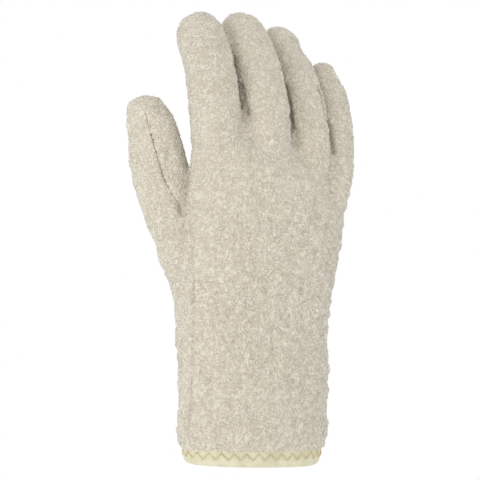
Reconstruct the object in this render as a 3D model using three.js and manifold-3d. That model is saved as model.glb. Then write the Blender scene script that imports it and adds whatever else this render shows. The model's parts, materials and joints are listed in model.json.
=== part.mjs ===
// A thick wool glove for the right hand, in the form it has on a relaxed hand: fingers up and a little
// curled, the thumb beside them. Two panels of fabric, one over the back of the hand and one over the
// palm, meet in a seam that runs up the side of the cuff, round the thumb and round every finger.
// A folded tape binds the cuff's edge. All of it is hollow and open at the wrist.
// Millimetres. +Z points to the fingertips, +Y to the palm side, and the thumb is on the -X side.
// The origin is the middle of the wrist opening, in the plane of the cuff's rim.
import * as THREE from "three";
import { mergeVertices } from "three/addons/utils/BufferGeometryUtils.js";
import Module from "manifold-3d";

// Cuff and palm
const bodyLength = 172; // from the rim to the roots of the fingers
const cuffWidth = 95;
const cuffDepth = 57;
const palmWidth = 106;
const palmDepth = 51;
const knuckleDepth = 37;
const knuckleDrift = 10.5; // how far the knuckles stand towards the little finger
const knuckleSetBack = 6; // and towards the back of the hand
const knuckleSlope = 20; // degrees that the knuckles fall towards the little finger
const knuckleTurn = 3; // degrees that their arch turns towards the palm
const knuckleArch = 6; // how far its two ends bend to the palm
const webRise = 31; // how far the webs stand above the knuckle line
const webDrift = 7; // how far they stand towards the palm

// Fingers and thumb: length from the root inside the palm, and girth at the middle
const indexLength = 121;
const indexWidth = 30.6;
const middleLength = 128;
const middleWidth = 29.4;
const ringLength = 125;
const ringWidth = 27.8;
const littleLength = 115;
const littleWidth = 24.8;
const thumbLength = 133;
const thumbWidth = 29.6;

// Fabric and binding
const fabricThickness = 3;
const hemThickness = 1.6; // the fabric's edge, pressed thin inside the binding
const bindingHeight = 8.6;
const bindingThickness = 0.9;
const bindingStep = 3.4; // how far the binding's face lies inside the cuff's face
const clearance = 0.3; // between pieces that touch
const hemShoulder = 7; // height over which the fabric swells out above the binding
const hemSlant = 4.8; // how far the rim drops from the thumb's side to the little finger's
const hemSlantReach = 60; // height at which the slant has gone

// How finely the shapes are cut
const bodySides = 34;
const digitSides = 16;
const bodyStep = 15;
const digitStep = 13;
const tipRings = 3;
const mergedEdge = 0.08; // edges shorter than this are closed up
const seamMargin = 2.5; // how far the seam's cutting slabs reach past the fabric
const thumbSeamAway = 4; // how far off the thumb's axis its seam starts, at the root

// Sections of cuff and palm, from the rim up. rise is a share of bodyLength. palm and knuckle say how
// far the size has gone from the cuff's to the palm's, and from the palm's depth to the knuckles'.
// lean is the share of the knuckles' drift, set-back, slope and turn. square is the oval's exponent.
const bodySections = [
  { rise: 0.0, palm: 0.0, knuckle: 0.0, lean: 0.0, square: 2.15 },
  { rise: 0.17, palm: 0.0, knuckle: 0.0, lean: 0.0, square: 2.15 },
  { rise: 0.34, palm: 0.04, knuckle: 0.0, lean: 0.0, square: 2.15 },
  { rise: 0.48, palm: 0.28, knuckle: 0.0, lean: -0.04, square: 2.15 },
  { rise: 0.61, palm: 0.5, knuckle: 0.0, lean: 0.14, square: 2.2 },
  { rise: 0.74, palm: 0.75, knuckle: 0.1, lean: 0.48, square: 2.25 },
  { rise: 0.87, palm: 0.96, knuckle: 0.45, lean: 0.83, square: 2.3 },
  { rise: 1.0, palm: 1.0, knuckle: 1.0, lean: 1.0, square: 2.4 },
];

// The webs above the knuckle line: rise is a share of webRise, and width and depth are shares of the
// section's at the knuckle line.
const webSections = [
  { rise: 0.0, width: 1.0, depth: 1.0 },
  { rise: 0.2, width: 1.0, depth: 0.93 },
  { rise: 0.4, width: 0.98, depth: 0.76 },
  { rise: 0.6, width: 0.94, depth: 0.56 },
  { rise: 0.78, width: 0.88, depth: 0.4 },
  { rise: 0.92, width: 0.8, depth: 0.27 },
  { rise: 1.0, width: 0.72, depth: 0.13 },
];
const hollowRise = 0.78; // the hollow ends at this share of webRise

// The digits. The root is a share of palmWidth across from the middle, of palmDepth out from it
// (minus is the back of the hand) and of bodyLength up. lean turns a digit to the thumb side and tilt
// to the palm, in degrees, at its root and at its tip. girth is a share of its width at the root, at
// a third of its length and at the tip. flat is depth over width. roll turns the digit's back from
// the hand's back towards the thumb side.
const digits = [
  { name: "index", length: indexLength, width: indexWidth, across: -0.25, out: -0.04, up: 0.92,
    lean: [-1, -5], tilt: [-12, 52.5], girth: [0.72, 1, 0.98], flat: 1, roll: [0, 0] },
  { name: "middle", length: middleLength, width: middleWidth, across: 0.018, out: -0.23, up: 0.92,
    lean: [-8, 1.5], tilt: [-1, 55], girth: [0.72, 1, 0.98], flat: 1, roll: [0, 0] },
  { name: "ring", length: ringLength, width: ringWidth, across: 0.31, out: -0.2, up: 0.925,
    lean: [-8, 0], tilt: [10, 53], girth: [0.72, 1, 0.98], flat: 1, roll: [0, 0] },
  { name: "little", length: littleLength, width: littleWidth, across: 0.425, out: -0.13, up: 0.83,
    lean: [-22, -1], tilt: [9, 43], girth: [0.7, 1, 1], flat: 1.04, roll: [0, 0] },
  { name: "thumb", length: thumbLength, width: thumbWidth, across: -0.25, out: 0.1, up: 0.535,
    lean: [21.5, 7.5], tilt: [11, 3], girth: [0.6, 1.2, 0.92], flat: 1.04, roll: [98, 122] },
];
const thumbSeamRise = 0.42; // share of the thumb over which its seam comes in from beside the palm
const tipLength = 0.5; // length of a fingertip's rounding, as a share of the digit's width
const tipSquare = 2.5;

const rad = THREE.MathUtils.degToRad;

// The value of a table's column at a share along it, on a smooth curve through the rows.
function along(rows, column, share) {
  let i = 0;
  while (i < rows.length - 2 && share > rows[i + 1].rise) i += 1;
  const row = (k) => rows[Math.min(Math.max(k, 0), rows.length - 1)];
  const slopeAt = (k) => {
    const span = row(k + 1).rise - row(k - 1).rise;
    return (row(k + 1)[column] - row(k - 1)[column]) / span;
  };
  const step = row(i + 1).rise - row(i).rise;
  const t = Math.min(Math.max((share - row(i).rise) / step, 0), 1);
  const [a, b] = [row(i)[column], row(i + 1)[column]];
  const [m0, m1] = [slopeAt(i) * step, slopeAt(i + 1) * step];
  return (2 * t ** 3 - 3 * t ** 2 + 1) * a + (t ** 3 - 2 * t ** 2 + t) * m0
    + (-2 * t ** 3 + 3 * t ** 2) * b + (t ** 3 - t ** 2) * m1;
}

// One oval cross-section at a height above the rim: its middle, its two directions and half sizes.
// Above the knuckle line it narrows to the crest of the webs between the fingers.
function bodySection(height) {
  const share = Math.min(height / bodyLength, 1);
  const get = (column) => along(bodySections, column, share);
  const lean = get("lean");
  const slope = rad(knuckleSlope) * lean;
  const turn = rad(knuckleTurn) * lean;
  const deep = cuffDepth + (palmDepth - cuffDepth) * get("palm");
  const web = Math.min(Math.max(height - bodyLength, 0) / webRise, 1);
  return {
    centre: new THREE.Vector3(knuckleDrift * lean, webDrift * web - knuckleSetBack * lean, height),
    across: new THREE.Vector3(Math.cos(turn) * Math.cos(slope), Math.sin(turn), -Math.sin(slope)).normalize(),
    outward: new THREE.Vector3(Math.sin(turn), -Math.cos(turn), 0),
    halfWidth: ((cuffWidth + (palmWidth - cuffWidth) * get("palm")) / 2) * along(webSections, "width", web),
    halfDepth: ((deep + (knuckleDepth - palmDepth) * get("knuckle")) / 2) * along(webSections, "depth", web),
    square: get("square"),
    arch: knuckleArch * lean,
  };
}

// The cross-sections of a digit, from its root to its tip, as fine as digitStep, then tipRings more
// in the rounding. inset shrinks the sections for the inside of the fabric.
function digitSections(digit, inset) {
  const length = digit.length - inset;
  const rounding = digit.width * tipLength - inset;
  const shaft = length - rounding;
  const steps = Math.ceil(shaft / digitStep);
  const stations = [];
  for (let i = 0; i <= steps; i += 1) stations.push({ at: (shaft * i) / steps, size: 1 });
  for (let i = 1; i <= tipRings; i += 1) {
    const turn = (i / (tipRings + 0.35)) * (Math.PI / 2);
    stations.push({
      at: shaft + rounding * Math.sin(turn) ** (2 / tipSquare),
      size: Math.cos(turn) ** (2 / tipSquare),
    });
  }
  return stations.map(({ at, size }) => {
    const place = digitPlace(digit, at);
    return {
      ...place,
      halfWidth: (place.halfWidth - inset) * size,
      halfDepth: (place.halfDepth - inset) * size,
    };
  });
}

// Where a digit's centreline is at a distance from its root, which way the digit faces there, and its
// half sizes. The centreline is walked in short steps, because its lean and tilt change along it.
function digitPlace(digit, distance) {
  const walkSteps = 40;
  const centre = new THREE.Vector3(
    digit.across * palmWidth,
    digit.out * palmDepth,
    digit.up * bodyLength,
  );
  const direction = (share) => {
    const lean = rad(THREE.MathUtils.lerp(digit.lean[0], digit.lean[1], share));
    const tilt = rad(THREE.MathUtils.lerp(digit.tilt[0], digit.tilt[1], share));
    return { lean, tilt };
  };
  const heading = ({ lean, tilt }) => new THREE.Vector3(
    -Math.sin(lean) * Math.cos(tilt),
    Math.sin(tilt),
    Math.cos(lean) * Math.cos(tilt),
  );
  for (let i = 0; i < walkSteps; i += 1) {
    const share = ((i + 0.5) / walkSteps) * (distance / digit.length);
    centre.addScaledVector(heading(direction(share)), distance / walkSteps);
  }
  const share = distance / digit.length;
  const { lean, tilt } = direction(share);
  const axis = heading({ lean, tilt });
  const roll = rad(THREE.MathUtils.lerp(digit.roll[0], digit.roll[1], share));
  const across = new THREE.Vector3(Math.cos(lean), 0, Math.sin(lean)).applyAxisAngle(axis, -roll);
  const outward = new THREE.Vector3().crossVectors(across, axis).normalize();
  const third = 1 / 3;
  const girth = share < third
    ? THREE.MathUtils.smoothstep(share, 0, third) * (digit.girth[1] - digit.girth[0]) + digit.girth[0]
    : THREE.MathUtils.lerp(digit.girth[1], digit.girth[2], (share - third) / (1 - third));
  return {
    centre,
    across,
    outward,
    axis,
    halfWidth: (digit.width / 2) * girth,
    halfDepth: (digit.width / 2) * girth * digit.flat,
    square: 2.1,
    arch: 0,
  };
}

// A ring of points round an oval section.
function ovalRing(section, sides) {
  const ring = [];
  const swell = (value) => Math.sign(value) * Math.abs(value) ** (2 / section.square);
  for (let i = 0; i < sides; i += 1) {
    const turn = (i / sides) * 2 * Math.PI;
    const across = swell(Math.cos(turn));
    ring.push(section.centre.clone()
      .addScaledVector(section.across, across * section.halfWidth)
      .addScaledVector(section.outward, swell(Math.sin(turn)) * section.halfDepth - section.arch * across ** 2));
  }
  return ring;
}

// A closed skin over a row of rings with equal numbers of points, capped at both ends, as a solid.
// Rings run the right way round, or the skin is turned inside out here.
function skinOver(rings) {
  const sides = rings[0].length;
  const positions = rings.flat();
  const faces = [];
  for (let r = 0; r < rings.length - 1; r += 1) {
    for (let i = 0; i < sides; i += 1) {
      const [a, b] = [r * sides + i, r * sides + ((i + 1) % sides)];
      faces.push([a, b, b + sides], [a, b + sides, a + sides]);
    }
  }
  for (const [start, flip] of [[0, true], [(rings.length - 1) * sides, false]]) {
    const middle = new THREE.Vector3();
    for (let i = 0; i < sides; i += 1) middle.add(positions[start + i]);
    positions.push(middle.divideScalar(sides));
    for (let i = 0; i < sides; i += 1) {
      const [a, b] = [start + i, start + ((i + 1) % sides)];
      faces.push(flip ? [positions.length - 1, b, a] : [positions.length - 1, a, b]);
    }
  }
  return solidFrom(positions, faces);
}

// A band closed on itself both ways: one outline of points at each step round the cuff.
function bandThrough(outlines) {
  const sides = outlines[0].length;
  const faces = [];
  outlines.forEach((_, r) => {
    const next = (r + 1) % outlines.length;
    for (let i = 0; i < sides; i += 1) {
      const j = (i + 1) % sides;
      faces.push([r * sides + i, r * sides + j, next * sides + j]);
      faces.push([r * sides + i, next * sides + j, next * sides + i]);
    }
  });
  return solidFrom(outlines.flat(), faces);
}

const wasm = await Module();
wasm.setup();

// A manifold-3d solid from points and triangles, with its faces pointing out.
function solidFrom(positions, faces) {
  const geometry = new THREE.BufferGeometry();
  geometry.setAttribute("position", new THREE.Float32BufferAttribute(positions.flatMap((p) => p.toArray()), 3));
  geometry.setIndex(faces.flat());
  const merged = mergeVertices(geometry, 1e-4);
  const build = (triVerts) => new wasm.Manifold(new wasm.Mesh({
    numProp: 3,
    vertProperties: merged.attributes.position.array,
    triVerts,
  }));
  const triVerts = new Uint32Array(merged.index.array);
  const made = build(triVerts);
  return made.volume() > 0 ? made : build(triVerts.reverse());
}

// The height of a point once the cuff's rim is slanted: it drops towards the little finger's side.
function slanted(x, z) {
  const nearRim = Math.max(0, 1 - z / hemSlantReach);
  return z - hemSlant * (x / cuffWidth) * nearRim ** 2;
}

// The same solid as a three.js mesh with a name and a material.
function meshOf(solid, name, material) {
  const { vertProperties, triVerts } = solid.getMesh();
  const corners = Float32Array.from(vertProperties);
  for (let i = 0; i < corners.length; i += 3) corners[i + 2] = slanted(corners[i], corners[i + 2]);
  const geometry = new THREE.BufferGeometry();
  geometry.setAttribute("position", new THREE.BufferAttribute(corners, 3));
  geometry.setIndex(Array.from(triVerts));
  geometry.computeVertexNormals();
  const mesh = new THREE.Mesh(geometry, material);
  mesh.name = name;
  return mesh;
}

// Heights of the body's cross-sections from a lower one to the knuckle line, then up the webs as far
// as a share of their rise.
function bodyHeights(from, webShare) {
  const steps = Math.ceil((bodyLength - from) / bodyStep);
  const heights = [];
  for (let i = 0; i <= steps; i += 1) heights.push(from + ((bodyLength - from) * i) / steps);
  for (const { rise } of webSections.slice(1)) {
    if (rise <= webShare) heights.push(bodyLength + webRise * rise);
  }
  return heights;
}

// The rings of cuff and palm. levels are the lowest ones, where the fabric thins into the binding.
function bodyRings(levels, inset, webShare) {
  const full = levels[levels.length - 1].height;
  const heights = bodyHeights(full, webShare).slice(1);
  const rows = [...levels, ...heights.map((height) => ({ height, inset }))];
  return rows.map((row) => {
    const section = bodySection(row.height);
    section.halfWidth -= row.inset;
    section.halfDepth -= row.inset;
    return ovalRing(section, bodySides);
  });
}

// The binding's place, measured inwards from the cuff's face, and the pressed fabric between its legs
const outerLeg = bindingStep + bindingThickness;
const hemFace = outerLeg + clearance;
const hemBack = hemFace + hemThickness;
const innerLeg = hemBack + clearance;
const bindingBack = innerLeg + bindingThickness;
const hemBottom = bindingThickness + clearance;

// Outside and inside of the whole glove, before the seam parts it
const shoulderTop = bindingHeight + hemShoulder;
const outside = [
  skinOver(bodyRings([
    { height: hemBottom, inset: hemFace },
    { height: bindingHeight, inset: hemFace },
    { height: bindingHeight + clearance, inset: bindingStep * 0.8 },
    { height: bindingHeight + hemShoulder * 0.3, inset: bindingStep * 0.3 },
    { height: shoulderTop, inset: 0 },
  ], 0, 1)),
  ...digits.map((digit) => skinOver(digitSections(digit, 0).map((s) => ovalRing(s, digitSides)))),
].reduce((whole, piece) => whole.add(piece));

const belowRim = 5;
const inside = [
  skinOver(bodyRings([
    { height: -belowRim, inset: hemBack },
    { height: bindingHeight + clearance, inset: hemBack },
    { height: shoulderTop, inset: fabricThickness },
  ], fabricThickness, hollowRise)),
  ...digits.map((digit) => (
    skinOver(digitSections(digit, fabricThickness).map((s) => ovalRing(s, digitSides)))
  )),
].reduce((whole, piece) => whole.add(piece));

const fabric = outside.subtract(inside);

// A slab over the back half of the body or of a digit, drawn in by inset on all sides. Its lower face
// lies on the seam, off it by away at each section, and its bowed side reaches past the fabric.
function slabOver(sections, aways, reach, inset) {
  return skinOver(sections.map((section, i) => {
    const corner = (a, o) => section.centre.clone()
      .addScaledVector(section.across, a)
      .addScaledVector(section.outward, o);
    const wide = section.halfWidth + reach - inset;
    const deep = section.halfDepth + 2 * reach - inset;
    const low = aways[i] + inset;
    const bow = [30, 60, 90, 120, 150].map((turn) => (
      corner(wide * Math.cos(rad(turn)), Math.max(deep * Math.sin(rad(turn)), aways[i] + 1 - inset))
    ));
    return [corner(-wide, low - section.arch), corner(0, low), corner(wide, low - section.arch), ...bow];
  }));
}

// Everything on the back side of the seam, drawn in from it on all sides by inset.
function backOfSeam(inset) {
  const crest = bodyLength + webRise;
  const bodySlab = [-belowRim, ...bodyHeights(0, 1), crest + seamMargin].map((height) => {
    const section = bodySection(Math.min(Math.max(height, 0), crest));
    section.centre.z = height;
    return section;
  });
  const parts = [slabOver(bodySlab, bodySlab.map(() => 0), 4 * seamMargin, inset)];
  for (const digit of digits) {
    const steps = Math.ceil(digit.length / digitStep);
    const sections = [];
    const aways = [];
    for (let i = 0; i <= steps; i += 1) {
      const comeIn = Math.max(1 - i / steps / thumbSeamRise, 0);
      sections.push(digitPlace(digit, ((digit.length + seamMargin) * i) / steps));
      aways.push(digit.name === "thumb" ? comeIn ** 2 * thumbSeamAway : 0);
    }
    parts.push(slabOver(sections, aways, seamMargin / 2, inset));
  }
  return parts.reduce((whole, piece) => whole.add(piece));
}

// The largest of a solid's separate bodies: what the seam cuts off in a corner is trimmed away.
function largestOf(solid) {
  return solid.decompose().sort((a, b) => b.volume() - a.volume())[0].simplify(mergedEdge);
}

const backPanel = largestOf(fabric.intersect(backOfSeam(clearance / 2)));
const palmPanel = largestOf(fabric.subtract(backOfSeam(-clearance / 2)));

// The tape's cross-section, as [distance in from the cuff's face, height]: a channel that opens
// upwards, with rounded lower corners.
const fold = bindingThickness;
const tapeProfile = [
  [bindingStep, bindingHeight],
  [bindingStep, fold],
  [bindingStep + fold * 0.3, fold * 0.3],
  [outerLeg + clearance, 0],
  [hemBack, 0],
  [bindingBack - fold * 0.3, fold * 0.3],
  [bindingBack, fold],
  [bindingBack, bindingHeight],
  [innerLeg, bindingHeight],
  [innerLeg, fold],
  [outerLeg, fold],
  [outerLeg, bindingHeight],
];

const tapeOutlines = [];
for (let i = 0; i < bodySides; i += 1) {
  tapeOutlines.push(tapeProfile.map(([inset, height]) => {
    const section = bodySection(height);
    section.halfWidth -= inset;
    section.halfDepth -= inset;
    return ovalRing(section, bodySides)[i];
  }));
}
const binding = bandThrough(tapeOutlines);

// Materials, in the colours of undyed wool and of a pale yellow cotton tape
const wool = new THREE.MeshStandardMaterial({ color: "#d8d0bd", roughness: 0.95, metalness: 0 });
const tape = new THREE.MeshStandardMaterial({ color: "#e0dab6", roughness: 0.75, metalness: 0 });

const glove = new THREE.Group();
glove.add(
  meshOf(backPanel, "back_panel", wool),
  meshOf(palmPanel, "palm_panel", wool),
  meshOf(binding, "cuff_binding", tape),
);

export default glove;
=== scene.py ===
import json
import math
import random

import bmesh
import bpy
import numpy as np
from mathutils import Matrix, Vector
from mathutils.bvhtree import BVHTree
from mathutils.noise import noise

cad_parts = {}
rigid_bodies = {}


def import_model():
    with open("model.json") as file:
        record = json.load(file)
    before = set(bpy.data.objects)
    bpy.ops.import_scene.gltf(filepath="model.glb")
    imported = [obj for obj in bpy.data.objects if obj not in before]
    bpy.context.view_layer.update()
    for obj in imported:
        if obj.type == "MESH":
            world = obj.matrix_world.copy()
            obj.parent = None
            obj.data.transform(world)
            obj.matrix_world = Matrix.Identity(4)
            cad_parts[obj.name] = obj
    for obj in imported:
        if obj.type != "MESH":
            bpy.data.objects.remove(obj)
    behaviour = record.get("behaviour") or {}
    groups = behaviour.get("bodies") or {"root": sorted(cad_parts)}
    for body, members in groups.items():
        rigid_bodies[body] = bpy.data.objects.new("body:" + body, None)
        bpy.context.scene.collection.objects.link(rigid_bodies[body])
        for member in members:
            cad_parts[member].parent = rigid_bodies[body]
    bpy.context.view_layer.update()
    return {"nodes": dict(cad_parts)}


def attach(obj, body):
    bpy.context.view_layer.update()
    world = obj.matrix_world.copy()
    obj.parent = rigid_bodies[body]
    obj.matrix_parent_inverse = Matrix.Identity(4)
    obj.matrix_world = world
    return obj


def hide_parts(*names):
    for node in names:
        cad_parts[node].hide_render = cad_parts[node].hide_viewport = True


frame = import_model()
scene = bpy.context.scene
mm = 0.001


# camera, at the photo's angle to the glove

photoView = {
    "azimuth": -25.0,     # degrees round from the back of the hand towards the thumb
    "distance": 1000,     # mm
    "height": 132.7,      # mm, of the point looked at
    "aside": -7.5,        # mm, of that point from the glove's axis, to the right
    "lens": 125,
    "width": 480,         # pixels
}


def addCamera(view):
    turn = math.radians(view["azimuth"])
    away = Vector((math.sin(turn), -math.cos(turn), 0))
    right = Vector((math.cos(turn), math.sin(turn), 0))
    aim = right * view["aside"] * mm + Vector((0, 0, view["height"] * mm))
    data = bpy.data.cameras.new("photoCamera")
    data.lens = view["lens"]
    data.sensor_width = 36
    data.clip_start = 0.05
    camera = bpy.data.objects.new("photoCamera", data)
    scene.collection.objects.link(camera)
    camera.location = aim + away * view["distance"] * mm
    camera.rotation_euler = (-away).to_track_quat("-Z", "Y").to_euler()
    scene.camera = camera
    return camera.location.copy(), right, -away


eye, rightWay, lookWay = addCamera(photoView)


def sightLine(x, y):  # direction from the camera through a pixel of the photo
    reach = photoView["lens"] / 36 * photoView["width"]
    middle = photoView["width"] / 2
    return (lookWay * reach + rightWay * (x - middle) + Vector((0, 0, middle - y))).normalized()


# light: a white room, a large soft lamp low on the left and a weak one behind

light = {
    "room": 1.0,
    "keyPower": 4.5,
    "keySize": 1.0,      # m, as all lengths here
    "keyPlace": (-0.95, -0.78, -0.05),
    "fillPower": 3.0,
    "fillSize": 0.8,
    "fillPlace": (0.7, 1.2, 0.75),
    "aim": (0, 0, 0.08),
    "tint": (1.0, 0.99, 0.97),
    "floorDrop": 0.24,   # below the cuff
    "floorRadius": 0.9,
}


def addLamp(name, power, size, place):
    lamp = bpy.data.lights.new(name, "AREA")
    lamp.energy = power
    lamp.size = size
    lamp.color = light["tint"]
    stand = bpy.data.objects.new(name, lamp)
    scene.collection.objects.link(stand)
    stand.location = place
    stand.rotation_euler = (Vector(light["aim"]) - stand.location).to_track_quat("-Z", "Y").to_euler()


def addLight():
    world = bpy.data.worlds.new("whiteRoom")
    world.use_nodes = True
    world.node_tree.nodes["Background"].inputs["Color"].default_value = (1, 1, 1, 1)
    world.node_tree.nodes["Background"].inputs["Strength"].default_value = light["room"]
    scene.world = world
    scene.view_settings.view_transform = "Standard"
    addLamp("keyLamp", light["keyPower"], light["keySize"], light["keyPlace"])
    addLamp("fillLamp", light["fillPower"], light["fillSize"], light["fillPlace"])


addLight()
print("camera and light are set")


# shader writing: sockets that take part in sums, and one method for every other node

class Wire:
    def __init__(self, shade, socket):
        self.shade = shade
        self.socket = socket

    def sum(self, kind, first, second):
        return self.shade.node("ShaderNodeMath", {"operation": kind}, {0: first, 1: second})

    def __add__(self, other):
        return self.sum("ADD", self, other)

    def __radd__(self, other):
        return self.sum("ADD", other, self)

    def __sub__(self, other):
        return self.sum("SUBTRACT", self, other)

    def __rsub__(self, other):
        return self.sum("SUBTRACT", other, self)

    def __mul__(self, other):
        return self.sum("MULTIPLY", self, other)

    def __rmul__(self, other):
        return self.sum("MULTIPLY", other, self)

    def absolute(self):
        return self.shade.node("ShaderNodeMath", {"operation": "ABSOLUTE"}, {0: self})

    def between(self, low, high):
        return self.shade.node("ShaderNodeMapRange", {"interpolation_type": "SMOOTHSTEP"},
                               {"Value": self, "From Min": low, "From Max": high})


class Shade:
    def __init__(self, name, roughness, sheen):
        self.material = bpy.data.materials.new(name)
        self.material.use_nodes = True
        self.tree = self.material.node_tree
        self.cloth = self.tree.nodes["Principled BSDF"]
        self.cloth.inputs["Roughness"].default_value = roughness
        self.cloth.inputs["Specular IOR Level"].default_value = 0.15
        self.cloth.inputs["Sheen Weight"].default_value = sheen
        self.cloth.inputs["Sheen Roughness"].default_value = 0.6

    def node(self, kind, settings, values, out=0):
        made = self.tree.nodes.new(kind)
        for key, value in settings.items():
            setattr(made, key, value)
        for key, value in values.items():
            if isinstance(value, Wire):
                self.tree.links.new(value.socket, made.inputs[key])
            else:
                made.inputs[key].default_value = value
        return Wire(self, made.outputs[out])

    def place(self):
        return self.node("ShaderNodeTexCoord", {}, {}, out="Object")

    def attribute(self, name):
        return self.node("ShaderNodeAttribute", {"attribute_name": name}, {}, out="Fac")

    def noise(self, at, grain, detail=2.0, rough=0.5, out="Fac"):  # grain in mm
        values = {"Vector": at, "Scale": 1000 / grain, "Detail": detail, "Roughness": rough}
        return self.node("ShaderNodeTexNoise", {}, values, out=out)

    def mix(self, share, first, second):  # colours
        return self.node("ShaderNodeMix", {"data_type": "RGBA", "blend_type": "MIX"},
                         {0: share, 6: first, 7: second}, out=2)

    def feed(self, name, value):
        self.tree.links.new(value.socket, self.cloth.inputs[name])

    def bump(self, height, distance):  # distance in mm
        relief = self.node("ShaderNodeBump", {},
                           {"Height": height, "Distance": distance * mm, "Strength": 1.0})
        self.feed("Normal", relief)


def colour(red, green, blue):
    return (red, green, blue, 1)


# the wool's two finishes: the felted ground and the curls that stand on it

woolLook = {
    "light": colour(0.81, 0.77, 0.677),
    "middle": colour(0.71, 0.658, 0.555),
    "dark": colour(0.53, 0.475, 0.375),
    "speck": colour(0.40, 0.345, 0.25),
    # colour of the seams' darker line and of the painted shade in the finger gaps, creases and valleys
    "seamAndPaintedShade": colour(0.33, 0.275, 0.195),
    "worm": 3.1,           # mm, size of the felt's own pattern, as all sizes here
    "wormBend": 1.2,       # how far that pattern is bent
    "wormBendSize": 2.4,
    "feltFine": 0.9,
    "feltCloud": 22.0,
    "feltRelief": 0.45,    # height
    "fibre": 0.6,
    "fibreRelief": 0.12,   # height
    "pit": 2.2,
    "tuft": 2.4,
    "clump": 4.8,
    "patch": 9.5,
    "cloud": 24.0,
}


def woolGround():
    shade = Shade("feltedWool", 1.0, 0.25)
    at = shade.place()
    drift = shade.noise(at, woolLook["wormBendSize"], out="Color")
    bend = woolLook["wormBend"] * mm
    bent = shade.node("ShaderNodeVectorMath", {"operation": "MULTIPLY_ADD"},
                      {0: drift, 1: (bend, bend, bend), 2: at})
    worm = (shade.noise(bent, woolLook["worm"]) - 0.5).absolute().between(0.0, 0.14)
    fine = shade.noise(bent, woolLook["feltFine"], 3.0, 0.6)
    cloud = shade.noise(at, woolLook["feltCloud"]).between(0.3, 0.7)
    # the felt's colour is darkest in the grooves of its own bump pattern: painted shade there, over tone
    # that varies at random
    tone = worm * 0.55 + fine * 0.35 + cloud * 0.15
    felt = shade.mix(tone.between(0.1, 0.8), woolLook["dark"], woolLook["middle"])
    # darker where the seam attribute says: the seams' own line, and painted shade in the finger gaps,
    # creases and valleys
    sewn = shade.mix(shade.attribute("seam"), felt, woolLook["seamAndPaintedShade"])
    shade.feed("Base Color", sewn)
    shade.bump(worm * 0.7 + fine * 0.3, woolLook["feltRelief"])
    return shade.material


def woolCurls():
    shade = Shade("curledWool", 1.0, 0.4)
    at = shade.place()
    fibre = shade.noise(at, woolLook["fibre"], 2.0, 0.6)
    tuft = shade.noise(at, woolLook["tuft"], 2.0, 0.6).between(0.36, 0.64)
    clump = shade.noise(at, woolLook["clump"], 3.0, 0.6).between(0.36, 0.64)
    patch = shade.noise(at, woolLook["patch"], 1.0).between(0.35, 0.65)
    cloud = shade.noise(at, woolLook["cloud"]).between(0.3, 0.7)
    tone = shade.attribute("curlTone")
    body = shade.mix(tone * 0.2 + clump * 0.45 + tuft * 0.35, woolLook["light"], woolLook["middle"])
    dulled = cloud * 0.06 + patch * 0.14 + (clump * 0.6 + tone * 0.4) * tuft * 0.5
    mottled = shade.mix(dulled, body, woolLook["dark"])
    pits = shade.noise(at, woolLook["pit"], 1.0).between(0.61, 0.7) * tone.between(0.4, 0.65)
    flecked = shade.mix(pits * 0.6, mottled, woolLook["speck"])
    # darker where the seam attribute says: the seams' own line, and painted shade in the finger gaps,
    # creases and valleys
    sewn = shade.mix(shade.attribute("seam") * 0.8, flecked, woolLook["seamAndPaintedShade"])
    shade.feed("Base Color", sewn)
    shade.bump(fibre, woolLook["fibreRelief"])
    return shade.material


groundWool = woolGround()
curlWool = woolCurls()
print("the wool is mixed")


# the panels' smooth ground, made from the solids

ground = {               # lengths in mm
    "voxel": 1.35,
    "rounds": 26,        # of smoothing
    "stepOut": 0.55,     # each round goes out and back, so that the form doesn't shrink
    "stepBack": -0.5,
    "seamHold": 0.8,     # from the other panel, where nothing is smoothed
    "seamFade": 4.0,     # over which smoothing comes in from there
    "rimHold": 2.0,      # above the rim, where nothing is smoothed
    "rimFade": 8.0,
    "closeFrom": 2.4,    # from the other panel, where the edges start to lean together
    "closeOver": 1.8,
    "seamClosed": 0.45,  # that each panel's edge reaches past the middle of the seam
    "sink": 0.55,        # that the ground lies under the solids' face, which stands for the pile
    "standOff": 1.6,     # from which a corner looks round, to see if it is outside
    "lump": 0.8,         # height of the soft unevenness
    "lumpSize": 9.0,
    "nub": 1.15,
    "nubSize": 4.4,
    "nubShift": (31, 7, 5),
    "evenNearSeam": 3.0,
    "digitCalm": 0.4,    # share by which fingers and thumb are smoother than the hand
    "fingerStart": 150,  # up the glove
    "fingerFade": 30,
    "thumbStart": 42,    # to the thumb's side
    "thumbFade": 8,
    "pileStart": 9.0,    # above the cuff's rim, where the tape ends
    "pileFade": 3.0,
}


rim = {
    "slant": 4.8,        # mm that the cuff's rim drops from the thumb's side to the little finger's
    "width": 95,
    "reach": 60,         # mm up, where the slant has gone
}


def slanted(x, z):       # mm, as the solids have it
    near = max(0.0, 1 - z / rim["reach"])
    return z - rim["slant"] * (x / rim["width"]) * near ** 2


def upFromRim(places):   # m, the height that a place had before the slant
    x, z = places[:, 0] / mm, places[:, 2] / mm
    return (z + rim["slant"] * (x / rim["width"]) * np.clip(1 - z / rim["reach"], 0, 1) ** 2) * mm


def treeOf(*names):
    corners, faces = [], []
    for name in names:
        mesh = frame["nodes"][name].data
        first = len(corners)
        corners += [v.co.copy() for v in mesh.vertices]
        faces += [[first + i for i in p.vertices] for p in mesh.polygons]
    return BVHTree.FromPolygons(corners, faces)


allTree = treeOf("back_panel", "palm_panel", "cuff_binding")
panelTree = {"back_panel": treeOf("back_panel"), "palm_panel": treeOf("palm_panel")}
otherPanel = {"back_panel": "palm_panel", "palm_panel": "back_panel"}


def plainObject(name, mesh):
    made = bpy.data.objects.new(name, mesh)
    scene.collection.objects.link(made)
    return made


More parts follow.
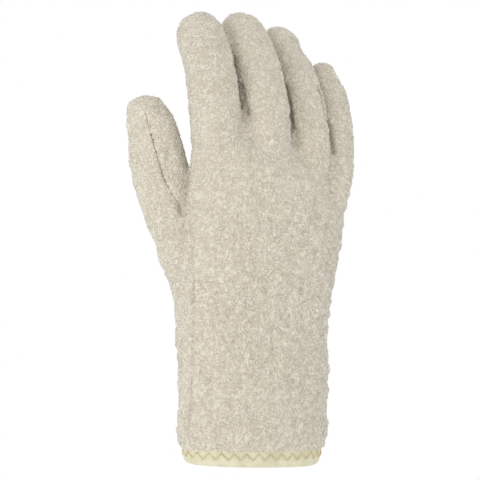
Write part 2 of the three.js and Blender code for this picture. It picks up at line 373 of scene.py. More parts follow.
def remeshed(node, name):
    mesh = frame["nodes"][node].data.copy()
    work = bmesh.new()
    work.from_mesh(mesh)
    bmesh.ops.remove_doubles(work, verts=work.verts, dist=1e-6)
    work.to_mesh(mesh)
    work.free()
    draft = plainObject(name + "_draft", mesh)
    remesh = draft.modifiers.new("remesh", "REMESH")
    remesh.mode = "VOXEL"
    remesh.voxel_size = ground["voxel"] * mm
    done = bpy.data.meshes.new_from_object(draft.evaluated_get(bpy.context.evaluated_depsgraph_get()))
    bpy.data.objects.remove(draft)
    done.name = name
    done.materials.clear()
    return done


def placesOf(mesh):
    flat = np.zeros(len(mesh.vertices) * 3)
    mesh.vertices.foreach_get("co", flat)
    return flat.reshape(-1, 3)


def normalsOf(mesh):
    flat = np.zeros(len(mesh.vertices) * 3)
    mesh.vertex_normals.foreach_get("vector", flat)
    return flat.reshape(-1, 3)


def setPlaces(mesh, places):
    mesh.vertices.foreach_set("co", places.ravel())
    mesh.update()


def smoothed(mesh, places, hold, rounds):
    pairs = np.zeros(len(mesh.edges) * 2, int)
    mesh.edges.foreach_get("vertices", pairs)
    pairs = pairs.reshape(-1, 2)
    start = np.concatenate([pairs[:, 0], pairs[:, 1]])
    end = np.concatenate([pairs[:, 1], pairs[:, 0]])
    count = np.bincount(start, minlength=len(places))[:, None]
    for turn in range(rounds):
        for step in (ground["stepOut"], ground["stepBack"]):
            mean = np.stack([np.bincount(start, places[end, k], len(places)) for k in range(3)], 1) / count
            places = places + (mean - places) * step * hold[:, None]
    return places


def rays():
    found = []
    for tilt in (-15, 20, 60):
        for turn in range(0, 360, 60):
            a, b = math.radians(turn + tilt), math.radians(tilt)
            found.append(Vector((math.cos(a) * math.cos(b), math.sin(a) * math.cos(b), math.sin(b))))
    return found


openRays = rays()


def isOutside(place, normal):   # where at least two rays get clear of all the cloth
    start = place + normal * ground["standOff"] * mm
    ways = [way for way in openRays if way.dot(normal) > 0.1]
    free = 0
    for way in ways:
        if allTree.ray_cast(start, way)[0] is None:
            free += 1
            if free == 2:
                return 1.0
    return 0.0


def unevenness(place):
    point = Vector(place) / mm
    lump = noise(point / ground["lumpSize"]) * ground["lump"]
    nub = noise(point / ground["nubSize"] + Vector(ground["nubShift"])) * ground["nub"]
    onFinger = (point.z - ground["fingerStart"]) / ground["fingerFade"]
    onThumb = (-point.x - ground["thumbStart"]) / ground["thumbFade"]
    onDigit = min(1, max(0, onFinger, onThumb))
    return (lump + nub) * (1 - onDigit * ground["digitCalm"]) * mm


def storeFloat(mesh, name, values):
    layer = mesh.attributes.new(name, "FLOAT", "POINT")
    layer.data.foreach_set("value", values.astype(np.float32))


# where the cloth is drawn in or pushed out: pixel of the photo, spread in pixels, mm to the right and up
settling = [
    {"x": 129, "y": 158, "spread": 20, "right": -2.0, "up": 0.0},
    {"x": 132, "y": 188, "spread": 20, "right": -2.2, "up": 0.0},
    {"x": 152, "y": 243, "spread": 15, "right": 2.5, "up": 0.0},
    {"x": 171, "y": 285, "spread": 13, "right": -2.7, "up": 0.0},
    {"x": 174, "y": 326, "spread": 16, "right": 0.9, "up": 0.0},
    {"x": 176, "y": 362, "spread": 20, "right": 1.0, "up": 0.0},
    {"x": 176, "y": 402, "spread": 20, "right": 1.1, "up": 0.0},
    {"x": 168, "y": 104, "spread": 15, "right": -2.4, "up": -2.0},
    {"x": 130, "y": 104, "spread": 9, "right": -1.2, "up": 0.4},
    {"x": 181, "y": 19, "spread": 9, "right": -0.2, "up": 0.5},
    {"x": 240, "y": 16, "spread": 16, "right": -1.8, "up": 0.4},
    {"x": 305, "y": 47, "spread": 13, "right": -2.0, "up": -1.8},
    {"x": 291, "y": 29, "spread": 8, "right": -0.6, "up": -1.7},
    {"x": 340, "y": 76, "spread": 13, "right": -1.4, "up": -1.8},
    {"x": 346, "y": 208, "spread": 17, "right": 1.5, "up": 0.0},
    {"x": 329, "y": 367, "spread": 14, "right": 1.3, "up": 0.0},
    {"x": 182, "y": 466, "spread": 9, "right": 1.9, "up": 0.0},
    {"x": 323, "y": 466, "spread": 10, "right": -2.0, "up": 0.6},
]


def settled(places):
    toPlace = places - np.array(eye)
    middle = photoView["width"] / 2
    reach = photoView["lens"] / 36 * photoView["width"] / (toPlace @ np.array(lookWay))
    x = middle + toPlace @ np.array(rightWay) * reach
    y = middle - toPlace[:, 2] * reach
    moved = places.copy()
    for push in settling:
        share = np.exp(-((x - push["x"]) ** 2 + (y - push["y"]) ** 2) / push["spread"] ** 2)[:, None]
        moved += share * (np.array(rightWay) * push["right"] + np.array((0, 0, push["up"]))) * mm
    return moved


def makeGround(node, name):
    mesh = remeshed(node, name)
    places = placesOf(mesh)
    other = panelTree[otherPanel[node]]
    nearest = [other.find_nearest(Vector(p)) for p in places]
    gap = np.array([found[3] for found in nearest]) / mm
    across = np.array([tuple((found[0] - Vector(p)).normalized()) for found, p in zip(nearest, places)])
    hold = np.clip((gap - ground["seamHold"]) / ground["seamFade"], 0, 1)
    hold *= np.clip((upFromRim(places) / mm - ground["rimHold"]) / ground["rimFade"], 0, 1)
    places = smoothed(mesh, places, hold, ground["rounds"])
    share = np.clip((ground["closeFrom"] - gap) / ground["closeOver"], 0, 1)
    closing = (gap + ground["seamClosed"]) * share * share * (3 - 2 * share)
    setPlaces(mesh, places + across * (closing * mm)[:, None])
    places = placesOf(mesh)
    normals = normalsOf(mesh)
    outside = np.array([isOutside(Vector(p), Vector(n)) for p, n in zip(places, normals)])
    above = upFromRim(places) / mm - ground["pileStart"]
    uneven = np.array([unevenness(p) for p in places]) * np.clip(gap / ground["evenNearSeam"], 0.2, 1)
    rise = (uneven - ground["sink"] * mm) * np.clip(above / ground["pileFade"], 0, 1)
    setPlaces(mesh, places + normals * (rise * outside)[:, None])
    setPlaces(mesh, settled(placesOf(mesh)))
    storeFloat(mesh, "pile", outside * (above > 0))
    # the seam attribute starts at zero; the folds fill it later with the seams' darker line and painted
    # shade
    storeFloat(mesh, "seam", np.zeros(len(places)))
    mesh.materials.append(groundWool)
    mesh.polygons.foreach_set("use_smooth", [True] * len(mesh.polygons))
    print(name, "has", len(mesh.polygons) * 2, "triangles,", int(outside.sum()), "corners outside")
    return plainObject(name, mesh)


woolBack = makeGround("back_panel", "wool_back")
woolPalm = makeGround("palm_panel", "wool_palm")


# seams and soft folds, through the pixels where the photo shows them

def groundTree():
    corners, faces = [], []
    for piece in (woolBack, woolPalm):
        first = len(corners)
        corners += [v.co.copy() for v in piece.data.vertices]
        faces += [[first + i for i in p.vertices] for p in piece.data.polygons]
    return BVHTree.FromPolygons(corners, faces)


def trace(tree, pixels):   # points on the glove along a line of the photo, one for each pixel
    spots = []
    for (x0, y0), (x1, y1) in zip(pixels, pixels[1:]):
        steps = max(1, round(math.hypot(x1 - x0, y1 - y0)))
        for n in range(steps):
            way = sightLine(x0 + (x1 - x0) * n / steps, y0 + (y1 - y0) * n / steps)
            spots.append(tree.ray_cast(eye, way)[0])
    spots.append(tree.ray_cast(eye, sightLine(*pixels[-1]))[0])
    return [spot for spot in spots if spot]


thumbSeamPixels = [
    (146.5, 117), (147.5, 123), (150.5, 134), (154.4, 147.4), (159.2, 162.7), (162.6, 175.2),
    (165.9, 182.8), (170.7, 192.4), (174.5, 198.1), (179.3, 204.8), (181.2, 213.4),
]

# where, half width and depth in mm (a ridge where negative), and how much darker: the seams' own darker
# line, and painted shade in the gaps between fingers, at the thumb's web, side and root, and in the
# creases and valleys
folds = [
    {"name": "thumbSeam", "pixels": thumbSeamPixels, "wide": 1.0, "deep": 0.5, "dark": 0.2},
    {"name": "thumbSide", "pixels": [(187.5, 160), (187.8, 175), (187, 190), (184.5, 204)],
     "wide": 1.5, "deep": 0.9, "dark": 0.28},
    {"name": "thumbSeamLip", "pixels": [(x + 4.0, y - 1.5) for x, y in thumbSeamPixels[3:9]],
     "wide": 2.0, "deep": -0.5, "dark": 0.0},
    {"name": "thumbPit", "pixels": [(178.5, 204), (180.5, 214)], "wide": 2.2, "deep": 0.7, "dark": 0.55},
    {"name": "sideSeam",
     "pixels": [(189, 221), (192.5, 235), (193.5, 300), (192.5, 345), (190.5, 400), (188, 436)],
     "wide": 1.2, "deep": 0.6, "dark": 0.22},
    {"name": "firstGap", "pixels": [(241.5, 84), (245, 100), (248, 113)],
     "wide": 1.25, "deep": 1.5, "dark": 0.95},
    {"name": "secondGap", "pixels": [(286, 86), (290.5, 108), (293, 128)],
     "wide": 1.2, "deep": 1.5, "dark": 0.9},
    {"name": "thirdGap", "pixels": [(319, 88), (326.5, 120), (334, 153)],
     "wide": 1.4, "deep": 1.4, "dark": 0.9},
    {"name": "thumbRoot", "pixels": [(193, 230), (181, 232.5), (170, 237), (160, 241)],
     "wide": 2.4, "deep": 0.6, "dark": 0.08},
    {"name": "thumbWrinkle", "pixels": [(168.5, 148.5), (166.2, 156), (165.6, 161), (164.8, 168)],
     "wide": 1.1, "deep": 0.5, "dark": 0.3},
    {"name": "thumbTip", "pixels": [(152.5, 106.5), (159, 107)], "wide": 1.0, "deep": 0.4, "dark": 0.3},
    {"name": "indexValley", "pixels": [(252, 142), (251.5, 165), (252.5, 193)],
     "wide": 2.6, "deep": 0.6, "dark": 0.12},
    {"name": "handValley", "pixels": [(251, 247), (253, 262), (256, 279)],
     "wide": 2.2, "deep": 0.5, "dark": 0.12},
    {"name": "cuffValley", "pixels": [(272, 325), (273, 357)], "wide": 2.0, "deep": 0.5, "dark": 0.1},
    {"name": "cuffFold", "pixels": [(292, 335), (292, 372), (295, 435)],
     "wide": 2.4, "deep": 0.5, "dark": 0.08},
]


def pressFolds(piece, lines):
    mesh = piece.data
    places, normals = placesOf(mesh), normalsOf(mesh)
    pile = np.zeros(len(places), np.float32)
    mesh.attributes["pile"].data.foreach_get("value", pile)
    shift, dark = np.zeros(len(places)), np.zeros(len(places))
    for fold, line in zip(folds, lines):
        spots = np.array([tuple(spot) for spot in line])
        reach = fold["wide"] * 3 * mm
        inBox = (places > spots.min(0) - reach) & (places < spots.max(0) + reach)
        near = np.flatnonzero(np.all(inBox, axis=1))
        if len(near) == 0:
            continue
        far = np.sqrt(((places[near, None, :] - spots[None, :, :]) ** 2).sum(2)).min(1) / mm
        share = np.exp(-(far / fold["wide"]) ** 2)
        shift[near] -= fold["deep"] * mm * share
        # the darkening kept in the seam attribute: the seams' darker line, and painted shade in the finger
        # gaps, creases and valleys
        dark[near] = np.maximum(dark[near], fold["dark"] * share)
    setPlaces(mesh, places + normals * (shift * (pile > 0))[:, None])
    mesh.attributes["seam"].data.foreach_set("value", dark.astype(np.float32))


firstTree = groundTree()
foldLines = [trace(firstTree, fold["pixels"]) for fold in folds]
for piece in (woolBack, woolPalm):
    pressFolds(piece, foldLines)
pressedTree = groundTree()
print(len(folds), "seams and folds are pressed in")


# curls: short bent yarns scattered over the ground by Geometry Nodes

curl = {                 # lengths in mm
    "kinds": 7,
    "reach": 1.05,       # half the length of a curl
    "thick": 0.88,       # radius
    "endThin": 0.62,     # share of that radius at the ends
    "arch": 0.4,
    "bendLow": 1.6,      # radians that one turns over its length
    "bendHigh": 3.6,
    "sway": 0.5,
    "rings": 5,
    "spacing": 1.6,      # the least between two
    "sizeLow": 0.75,
    "sizeHigh": 1.35,
    "lean": 18,          # degrees at most
    "digitHigh": 1.15,   # on fingers and thumb, which are rounder, they are shorter and flatter
    "digitLean": 8,
    "sink": 0.58,        # into the ground
    "seamClearance": 0.75,
    "seed": 5,
}


def curlMesh(number):
    chance = random.Random(number * 7 + 3)
    bend = chance.uniform(curl["bendLow"], curl["bendHigh"]) * (1 if number % 2 else -1)
    sway = chance.uniform(-curl["sway"], curl["sway"])
    mesh = bmesh.new()
    rows = []
    heading, x, y = -bend / 2, 0.0, 0.0
    track = []
    parts = curl["rings"] - 1
    step = 2 * curl["reach"] / parts * 1.5   # a bent yarn is longer than its reach
    for n in range(curl["rings"]):
        share = n / parts
        high = curl["arch"] * math.sin(math.pi * share) * (1 + sway * (share - 0.5))
        track.append(Vector((x, y, high - curl["sink"])))
        x += math.cos(heading) * step
        y += math.sin(heading) * step
        heading += bend / parts
    middle = sum(track, Vector()) / len(track)
    for n, spot in enumerate(track):
        before, after = track[max(n - 1, 0)], track[min(n + 1, len(track) - 1)]
        along = (after - before).normalized()
        side = along.cross(Vector((0, 0, 1))).normalized()
        up = side.cross(along)
        fat = curl["thick"] * (curl["endThin"] if n in (0, parts) else 1.0)
        centre = spot - Vector((middle.x, middle.y, 0))
        rows.append([mesh.verts.new((centre + (side * math.cos(a) + up * math.sin(a)) * fat) * mm)
                     for a in (math.pi / 2, math.pi * 7 / 6, math.pi * 11 / 6)])
    for low, high in zip(rows, rows[1:]):
        for k in range(3):
            mesh.faces.new((low[k], low[(k + 1) % 3], high[(k + 1) % 3], high[k]))
    mesh.faces.new(rows[0][::-1])
    mesh.faces.new(rows[-1])
    bmesh.ops.recalc_face_normals(mesh, faces=mesh.faces)
    done = bpy.data.meshes.new("curl")
    mesh.to_mesh(done)
    mesh.free()
    done.polygons.foreach_set("use_smooth", [True] * len(done.polygons))
    return done


curlKinds = bpy.data.collections.new("curlKinds")
for number in range(curl["kinds"]):
    curlKinds.objects.link(bpy.data.objects.new(f"curl_{number}", curlMesh(number)))


class Sheet:  # a Geometry Nodes tree, written node by node
    def __init__(self, name, sockets):
        self.tree = bpy.data.node_groups.new(name, "GeometryNodeTree")
        self.tree.interface.new_socket("Geometry", in_out="INPUT", socket_type="NodeSocketGeometry")
        self.keys = {}
        for label, (kind, value) in sockets.items():
            made = self.tree.interface.new_socket(label, in_out="INPUT", socket_type=kind)
            if value is not None:
                made.default_value = value
            self.keys[label] = made.identifier
        self.tree.interface.new_socket("Geometry", in_out="OUTPUT", socket_type="NodeSocketGeometry")
        self.given = self.tree.nodes.new("NodeGroupInput")
        self.result = self.tree.nodes.new("NodeGroupOutput")

    def node(self, kind, settings=None, values=None):
        made = self.tree.nodes.new(kind)
        for key, value in (settings or {}).items():
            setattr(made, key, value)
        for key, value in (values or {}).items():
            if isinstance(value, bpy.types.NodeSocket):
                self.tree.links.new(value, made.inputs[key])
            else:
                made.inputs[key].default_value = value
        return made.outputs

    def end(self, socket):
        self.tree.links.new(socket, self.result.inputs[0])
        return self


def curlSheet():
    sheet = Sheet("scatterCurls", {
        "Curls": ("NodeSocketCollection", None),
        "Spacing": ("NodeSocketFloat", 0.0015),
        "Smallest": ("NodeSocketFloat", 0.8),
        "Largest": ("NodeSocketFloat", 1.3),
        "Lean": ("NodeSocketFloat", 0.4),
        "From height": ("NodeSocketFloat", 0.0),
        "To height": ("NodeSocketFloat", 1.0),
        "Seam": ("NodeSocketObject", None),
        "Seam clearance": ("NodeSocketFloat", 0.001),
        "Seed": ("NodeSocketInt", 5),
        "Material": ("NodeSocketMaterial", None),
    })
    take = sheet.given.outputs
    weight = sheet.node("GeometryNodeInputNamedAttribute", {"data_type": "FLOAT"}, {"Name": "pile"})
    dots = sheet.node("GeometryNodeDistributePointsOnFaces", {"distribute_method": "POISSON"}, {
        "Mesh": take["Geometry"], "Distance Min": take["Spacing"], "Density Max": 2000000.0,
        "Density Factor": weight["Attribute"], "Seed": take["Seed"]})
    place = sheet.node("GeometryNodeInputPosition")
    split = sheet.node("ShaderNodeSeparateXYZ", None, {"Vector": place[0]})
    low = sheet.node("FunctionNodeCompare", {"data_type": "FLOAT", "operation": "LESS_THAN"},
                     {0: split["Z"], 1: take["From height"]})
    high = sheet.node("FunctionNodeCompare", {"data_type": "FLOAT", "operation": "GREATER_EQUAL"},
                      {0: split["Z"], 1: take["To height"]})
    line = sheet.node("GeometryNodeObjectInfo", {"transform_space": "ORIGINAL"}, {"Object": take["Seam"]})
    near = sheet.node("GeometryNodeProximity", {"target_element": "EDGES"}, {0: line["Geometry"]})
    close = sheet.node("FunctionNodeCompare", {"data_type": "FLOAT", "operation": "LESS_THAN"},
                       {0: near["Distance"], 1: take["Seam clearance"]})
    outOfBand = sheet.node("FunctionNodeBooleanMath", {"operation": "OR"}, {0: low[0], 1: high[0]})
    unwanted = sheet.node("FunctionNodeBooleanMath", {"operation": "OR"}, {0: outOfBand[0], 1: close[0]})
    kept = sheet.node("GeometryNodeDeleteGeometry", {"domain": "POINT"},
                      {"Geometry": dots["Points"], "Selection": unwanted[0]})
    spin = sheet.node("FunctionNodeRandomValue", {"data_type": "FLOAT"}, {2: 0.0, 3: 6.2832, "Seed": 11})
    tilt = sheet.node("FunctionNodeRandomValue", {"data_type": "FLOAT"}, {2: -1.0, 3: 1.0, "Seed": 12})
    lean = sheet.node("ShaderNodeMath", {"operation": "MULTIPLY"}, {0: tilt[1], 1: take["Lean"]})
    euler = sheet.node("ShaderNodeCombineXYZ", None, {"X": lean[0], "Z": spin[1]})
    turned = sheet.node("FunctionNodeRotateRotation", {"rotation_space": "LOCAL"},
                        {0: dots["Rotation"], 1: euler[0]})
    sizes = sheet.node("FunctionNodeRandomValue", {"data_type": "FLOAT"},
                       {2: take["Smallest"], 3: take["Largest"], "Seed": 13})
    kinds = sheet.node("GeometryNodeCollectionInfo", {"transform_space": "ORIGINAL"},
                       {"Collection": take["Curls"], "Separate Children": True, "Reset Children": True})
    placed = sheet.node("GeometryNodeInstanceOnPoints", None, {
        "Points": kept[0], "Instance": kinds[0], "Pick Instance": True,
        "Rotation": turned[0], "Scale": sizes[1]})
    tone = sheet.node("FunctionNodeRandomValue", {"data_type": "FLOAT"}, {2: 0.0, 3: 1.0, "Seed": 14})
    toned = sheet.node("GeometryNodeStoreNamedAttribute", {"data_type": "FLOAT", "domain": "INSTANCE"},
                       {"Geometry": placed[0], "Name": "curlTone", "Value": tone[1]})
    real = sheet.node("GeometryNodeRealizeInstances", None, {"Geometry": toned[0]})
    painted = sheet.node("GeometryNodeSetMaterial", None,
                         {"Geometry": real[0], "Material": take["Material"]})
    return sheet.end(painted[0])


def grown(carrier, name, sheet, values):  # one plain mesh out of a tree put on a copy of the carrier
    draft = plainObject(name + "_draft", carrier.data.copy())
    work = draft.modifiers.new("work", "NODES")
    work.node_group = sheet.tree
    for label, value in values.items():
        work[sheet.keys[label]] = value
    draft.update_tag()
    seen = draft.evaluated_get(bpy.context.evaluated_depsgraph_get())
    mesh = bpy.data.meshes.new_from_object(seen)
    bpy.data.objects.remove(draft)
    mesh.name = name
    return plainObject(name, mesh)


def lineOf(name, spots, girths):
    mesh = bpy.data.meshes.new(name)
    mesh.from_pydata([tuple(s) for s in spots], [(n, n + 1) for n in range(len(spots) - 1)], [])
    places = np.linspace(0, 1, len(spots))
    storeFloat(mesh, "girth", np.interp(places, girths["at"], girths["thick"]))
    return plainObject(name, mesh)


# the thumb's seam: curls keep clear of it, and its thread lies in it, thicker at some shares of its length
seamGirths = {"at": [0, 0.3, 0.5, 0.85, 1], "thick": [0.5, 0.8, 1.4, 1.2, 0.9]}
seamLine = lineOf("seamLine", trace(pressedTree, thumbSeamPixels), seamGirths)
scatter = curlSheet()

# each panel's curls are made in bands, from one height to another in mm
bands = {
    "wool_back": [
        {"part": "cuff", "low": 0, "high": 78},
        {"part": "hand", "low": 78, "high": 150},
        {"part": "fingers", "low": 150, "high": 400},
    ],
    "wool_palm": [
        {"part": "cuff", "low": 0, "high": 92},
        {"part": "hand", "low": 92, "high": 170},
        {"part": "fingers", "low": 170, "high": 400},
    ],
}


def growCurls(carrier, part, low, high):
    onDigits = part == "fingers"
    name = carrier.name.replace("wool", "curls") + "_" + part
    piece = grown(carrier, name, scatter, {
        "Curls": curlKinds,
        "Spacing": curl["spacing"] * mm,
        "Smallest": curl["sizeLow"],
        "Largest": curl["digitHigh"] if onDigits else curl["sizeHigh"],
        "Lean": math.radians(curl["digitLean"] if onDigits else curl["lean"]),
        "From height": low * mm,
        "To height": high * mm,
        "Seam": seamLine,
        "Seam clearance": curl["seamClearance"] * mm,
        "Seed": curl["seed"],
        "Material": curlWool,
    })
    print(name, "has", sum(len(p.vertices) - 2 for p in piece.data.polygons), "triangles")
    return piece


curlPieces = []
for carrier in (woolBack, woolPalm):
    for band in bands[carrier.name]:
        curlPieces.append(growCurls(carrier, band["part"], band["low"], band["high"]))


# the tape folded round the cuff's edge

tape = {                 # lengths in mm
    "halfWide": 44.1,    # of the outer face
    "halfDeep": 25.1,
    "squareness": 2.15,
    "drop": 1.0,         # that the soft fold hangs under the rim
    "height": 9.9,
    "across": 4.0,       # from the outer face to the inner
    "thick": 0.9,
    "stations": 450,
    "stitchPitch": 7.5,
    "stitchLow": 4.3,
    "stitchHigh": 8.4,
    "pucker": 0.42,      # depth where the thread pulls
    "puckerWide": 0.9,
    "legLean": 0.68,     # what a height becomes straight across a leg of the zigzag
    "swell": 0.16,       # between the sewing and the fold
    "swellBelow": 3.2,
    "swellWide": 1.6,
    "sway": 0.3,         # of the whole tape, in and out
    "swaySize": 14,
    "weave": 0.07,
    "weaveSize": 2.3,
}


def ovalPath(count):  # even steps round the cuff, with the outward direction at each, and the way round
    steps = 4000      # fine enough to measure the oval by
    power = 2 / tape["squareness"]
    spots = []
    for n in range(steps):
        c = math.cos(2 * math.pi * n / steps)
        s = math.sin(2 * math.pi * n / steps)
        spots.append((tape["halfWide"] * math.copysign(abs(c) ** power, c),
                      tape["halfDeep"] * math.copysign(abs(s) ** power, s)))
    spots = np.array(spots)
    spans = np.linalg.norm(np.roll(spots, -1, 0) - spots, axis=1)
    far = np.concatenate([[0], np.cumsum(spans)])
    closed = np.vstack([spots, spots[:1]])
    want = np.arange(count) * far[-1] / count
    even = np.stack([np.interp(want, far, closed[:, k]) for k in range(2)], 1)
    along = np.roll(even, -1, 0) - np.roll(even, 1, 0)
    along /= np.linalg.norm(along, axis=1)[:, None]
    return even, np.stack([along[:, 1], -along[:, 0]], 1), far[-1]


def stitchHeight(share, count):  # height of the zigzag at a share of the way round
    wave = (share * count) % 1.0
    return tape["stitchLow"] + (tape["stitchHigh"] - tape["stitchLow"]) * (1 - abs(2 * wave - 1))


def wall(away, start, end, steps):  # evenly from one height to another, without the ends
    return [(away, start + (end - start) * n / steps) for n in range(1, steps)]


def halfTurn(middle, height, right, up, steps):  # round a half circle, with its radius signed each way
    turns = [math.pi * n / steps for n in range(steps + 1)]
    return [(middle + right * math.cos(turn), height + up * math.sin(turn)) for turn in turns]


def tapeSection():  # (out, up) round the fold, from the outer wall's top and down
    lip = tape["thick"] / 2
    top = tape["height"] - lip
    outer = tape["across"] / 2
    inner = outer - tape["thick"]
    rows = halfTurn(-lip, top, -lip, lip, 4)
    rows += wall(0, top, outer, 9)
    rows += halfTurn(-outer, outer, outer, -outer, 10)
    rows += wall(-tape["across"], outer, top, 6)
    rows += halfTurn(-tape["across"] + lip, top, -lip, lip, 4)
    rows += wall(-tape["across"] + tape["thick"], top, outer, 4)
    rows += halfTurn(-outer, outer, -inner, -inner, 6)
    rows += wall(-tape["thick"], outer, top, 4)
    return rows


def relief(up, sewn):  # mm that the outer wall stands out by the sewing
    miss = abs(up - sewn) * tape["legLean"]
    pulled = -tape["pucker"] * math.exp(-(miss / tape["puckerWide"]) ** 2)
    return pulled + tape["swell"] * math.exp(-((up - sewn + tape["swellBelow"]) / tape["swellWide"]) ** 2)


def tapeCorners(path, out, count, section):
    corners = []
    for n in range(tape["stations"]):
        x, y = path[n]
        sewn = stitchHeight(n / tape["stations"], count)
        sway = noise(Vector((x / tape["swaySize"], y / tape["swaySize"], 2.0))) * tape["sway"]
        for away, up in section:
            weave = noise(Vector((x, y, up)) / tape["weaveSize"]) * tape["weave"]
            onOuter = away > -0.5
            reach = away + sway * (1 if up < tape["across"] else 0.5)
            reach += relief(up, sewn) if onOuter else 0
            reach += weave if onOuter or up < tape["across"] / 2 else 0
            atX, atY = x + out[n][0] * reach, y + out[n][1] * reach
            corners.append((atX * mm, atY * mm, (slanted(atX, up) - tape["drop"]) * mm))
    return settled(np.array(corners))


def ringFaces(stations, size):
    faces = []
    for n in range(stations):
        after = (n + 1) % stations
        for k in range(size):
            beside = (k + 1) % size
            faces.append((n * size + k, n * size + beside, after * size + beside, after * size + k))
    return faces


def layUv(mesh, section, around):  # in cm, along the tape and round its section
    size = len(section)
    run = mesh.uv_layers.new(name="UVMap")
    spans = [0.0]
    for (x0, y0), (x1, y1) in zip(section, section[1:] + section[:1]):
        spans.append(spans[-1] + math.hypot(x1 - x0, y1 - y0))
    for face in mesh.polygons:
        wide = [mesh.loops[i].vertex_index for i in face.loop_indices]
        wraps = max(v // size for v in wide) - min(v // size for v in wide) > 1
        turns = max(v % size for v in wide) - min(v % size for v in wide) > 1
        for i, v in zip(face.loop_indices, wide):
            station, row = v // size, v % size
            station += tape["stations"] if wraps and station == 0 else 0
            row += size if turns and row == 0 else 0
            run.data[i].uv = (station / tape["stations"] * around / 10, spans[row] / 10)


def makeTape(material):
    path, out, around = ovalPath(tape["stations"])
    count = round(around / tape["stitchPitch"])
    section = tapeSection()
    mesh = bpy.data.meshes.new("sewn_tape")
    corners = tapeCorners(path, out, count, section)
    mesh.from_pydata(corners, [], ringFaces(tape["stations"], len(section)))
    work = bmesh.new()
    work.from_mesh(mesh)
    bmesh.ops.recalc_face_normals(work, faces=work.faces)
    work.to_mesh(mesh)
    work.free()
    layUv(mesh, section, around)
    mesh.polygons.foreach_set("use_smooth", [True] * len(mesh.polygons))
    mesh.materials.append(material)
    return plainObject("sewn_tape", mesh), count


tapeLook = {
    "pale": colour(0.73, 0.69, 0.52),
    "deep": colour(0.65, 0.60, 0.415),
    "soil": colour(0.56, 0.52, 0.355),
    "warp": 6.0,         # scale of the weave's waves, along the tape and across it
    "weft": 8.0,
    "cloud": 7.0,        # mm
    "fine": 0.7,         # mm
    "relief": 0.1,       # mm
}


def tapeCotton():
    shade = Shade("tapeCotton", 0.85, 0.15)
    run = shade.node("ShaderNodeUVMap", {"uv_map": "UVMap"}, {})
    at = shade.place()
    warp = shade.node("ShaderNodeTexWave", {"wave_type": "BANDS", "bands_direction": "X"},
                      {"Vector": run, "Scale": tapeLook["warp"], "Distortion": 1.2, "Detail": 1.0})
    weft = shade.node("ShaderNodeTexWave", {"wave_type": "BANDS", "bands_direction": "Y"},
                      {"Vector": run, "Scale": tapeLook["weft"], "Distortion": 0.8, "Detail": 1.0})
    cloud = shade.noise(at, tapeLook["cloud"], 3.0).between(0.3, 0.72)
    fine = shade.noise(at, tapeLook["fine"], 2.0)
    base = shade.mix(cloud, tapeLook["pale"], tapeLook["deep"])
    marked = shade.mix((fine * weft).between(0.35, 0.7) * 0.3, base, tapeLook["soil"])
    shade.feed("Base Color", marked)
    shade.bump(warp * 0.5 + weft * 0.5 + fine * 0.4, tapeLook["relief"])
    return shade.material


sewnTape, stitchCount = makeTape(tapeCotton())
print("the tape has", len(sewnTape.data.polygons) * 2, "triangles and", stitchCount, "zigzags")


# threads: the zigzag on the tape, and the seam's stitches on the thumb

thread = {               # lengths in mm
    "zigzagRadius": 0.18,
    "zigzagStep": 0.5,
    "seamRadius": 0.2,
    "seamStep": 0.8,
    "sides": 6,
    "stepsPerStitch": 14,
    "lift": 0.02,        # over the tape where a leg ends
    "bow": 0.34,         # by which it stands out between its ends
    "bowPower": 0.6,     # under 1, so that it bows out quickly
    "wander": 0.25,
    "wanderSize": 9,
    "uneven": 0.35,      # share of the thickness
    "unevenSize": 2.5,
    "zigzag": colour(0.44, 0.37, 0.20),
    "seam": colour(0.22, 0.175, 0.115),
    "paler": 1.7,
    "fibre": 0.5,
    "patch": 5.0,
    "relief": 0.08,
}


def threadLook(name, base):
    shade = Shade(name, 0.7, 0.1)
    at = shade.place()
    fibre = shade.noise(at, thread["fibre"], 2.0)
    patch = shade.noise(at, thread["patch"])
    pale = colour(*[min(1, part * thread["paler"]) for part in base[:3]])
    shade.feed("Base Color", shade.mix((fibre * 0.5 + patch * 0.5).between(0.35, 0.7), base, pale))
    shade.bump(fibre, thread["relief"])
    return shade.material


def threadSheet():
    sheet = Sheet("runThread", {
        "Radius": ("NodeSocketFloat", 0.0003),
        "Step": ("NodeSocketFloat", 0.0004),
        "Material": ("NodeSocketMaterial", None),
    })
    take = sheet.given.outputs
    path = sheet.node("GeometryNodeMeshToCurve", None, {"Mesh": take["Geometry"]})
    even = sheet.node("GeometryNodeResampleCurve", {"mode": "LENGTH"},
                      {"Curve": path[0], "Length": take["Step"]})
    ring = sheet.node("GeometryNodeCurvePrimitiveCircle", {"mode": "RADIUS"},
                      {"Resolution": thread["sides"], "Radius": take["Radius"]})
    girth = sheet.node("GeometryNodeInputNamedAttribute", {"data_type": "FLOAT"}, {"Name": "girth"})
    tube = sheet.node("GeometryNodeCurveToMesh", None, {
        "Curve": even[0], "Profile Curve": ring["Curve"], "Scale": girth["Attribute"], "Fill Caps": True})
    real = sheet.node("GeometryNodeRealizeInstances", None, {"Geometry": tube[0]})
    painted = sheet.node("GeometryNodeSetMaterial", None,
                         {"Geometry": real[0], "Material": take["Material"]})
    return sheet.end(painted[0])


runThread = threadSheet()


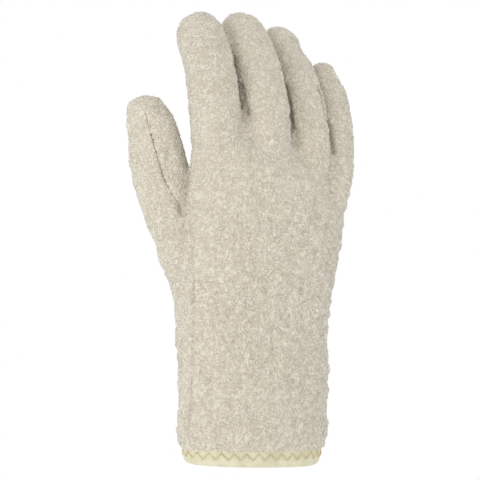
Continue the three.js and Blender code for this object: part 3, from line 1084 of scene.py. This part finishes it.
def zigzagLine():
    total = stitchCount * thread["stepsPerStitch"]
    path, out = ovalPath(total)[:2]
    spots = []
    for n in range(total):
        share = n / total
        alongLeg = (share * stitchCount) % 0.5 * 2
        high = stitchHeight(share, stitchCount)
        lift = thread["lift"] + thread["bow"] * math.sin(math.pi * alongLeg) ** thread["bowPower"]
        x, y = path[n]
        shift = noise(Vector((x / thread["wanderSize"], y / thread["wanderSize"], 4.0))) * thread["wander"]
        atX, atY = x + out[n][0] * lift, y + out[n][1] * lift
        spots.append((atX * mm, atY * mm, (slanted(atX, high + shift) - tape["drop"]) * mm))
    mesh = bpy.data.meshes.new("zigzagLine")
    mesh.from_pydata(settled(np.array(spots)), [(n, (n + 1) % total) for n in range(total)], [])
    girths = [1 + thread["uneven"] * noise(Vector(spot) / (thread["unevenSize"] * mm)) for spot in spots]
    storeFloat(mesh, "girth", np.array(girths))
    return plainObject("zigzagLine", mesh)


zigzagPath = zigzagLine()
zigzagThread = grown(zigzagPath, "zigzag_thread", runThread, {
    "Radius": thread["zigzagRadius"] * mm,
    "Step": thread["zigzagStep"] * mm,
    "Material": threadLook("zigzagThread", thread["zigzag"]),
})
seamThread = grown(seamLine, "seam_thread", runThread, {
    "Radius": thread["seamRadius"] * mm,
    "Step": thread["seamStep"] * mm,
    "Material": threadLook("seamThread", thread["seam"]),
})
for line in (zigzagPath, seamLine):
    bpy.data.objects.remove(line)
for kind in list(curlKinds.objects):
    bpy.data.objects.remove(kind)
print("the threads are run")


# the floor, and what rides where

floorLook = {
    "pale": colour(0.95, 0.95, 0.94),
    "dull": colour(0.9, 0.9, 0.89),
    "cloud": 60.0,       # mm
    "share": 0.2,
}


def addFloor():
    shade = Shade("paleFloor", 0.9, 0.0)
    cloud = shade.noise(shade.place(), floorLook["cloud"]) * floorLook["share"]
    shade.feed("Base Color", shade.mix(cloud, floorLook["pale"], floorLook["dull"]))
    work = bmesh.new()
    bmesh.ops.create_circle(work, cap_ends=True, segments=96, radius=light["floorRadius"])
    mesh = bpy.data.meshes.new("studio_floor")
    work.to_mesh(mesh)
    work.free()
    for corner in mesh.vertices:
        corner.co.z = -light["floorDrop"]
    mesh.materials.append(shade.material)
    floor = plainObject("studio_floor", mesh)


addFloor()

woolPieces = [woolBack, woolPalm] + curlPieces
for piece in woolPieces + [sewnTape, zigzagThread, seamThread]:
    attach(piece, "root")
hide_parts("back_panel")
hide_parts("palm_panel")
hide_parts("cuff_binding")

print("all pieces ride")
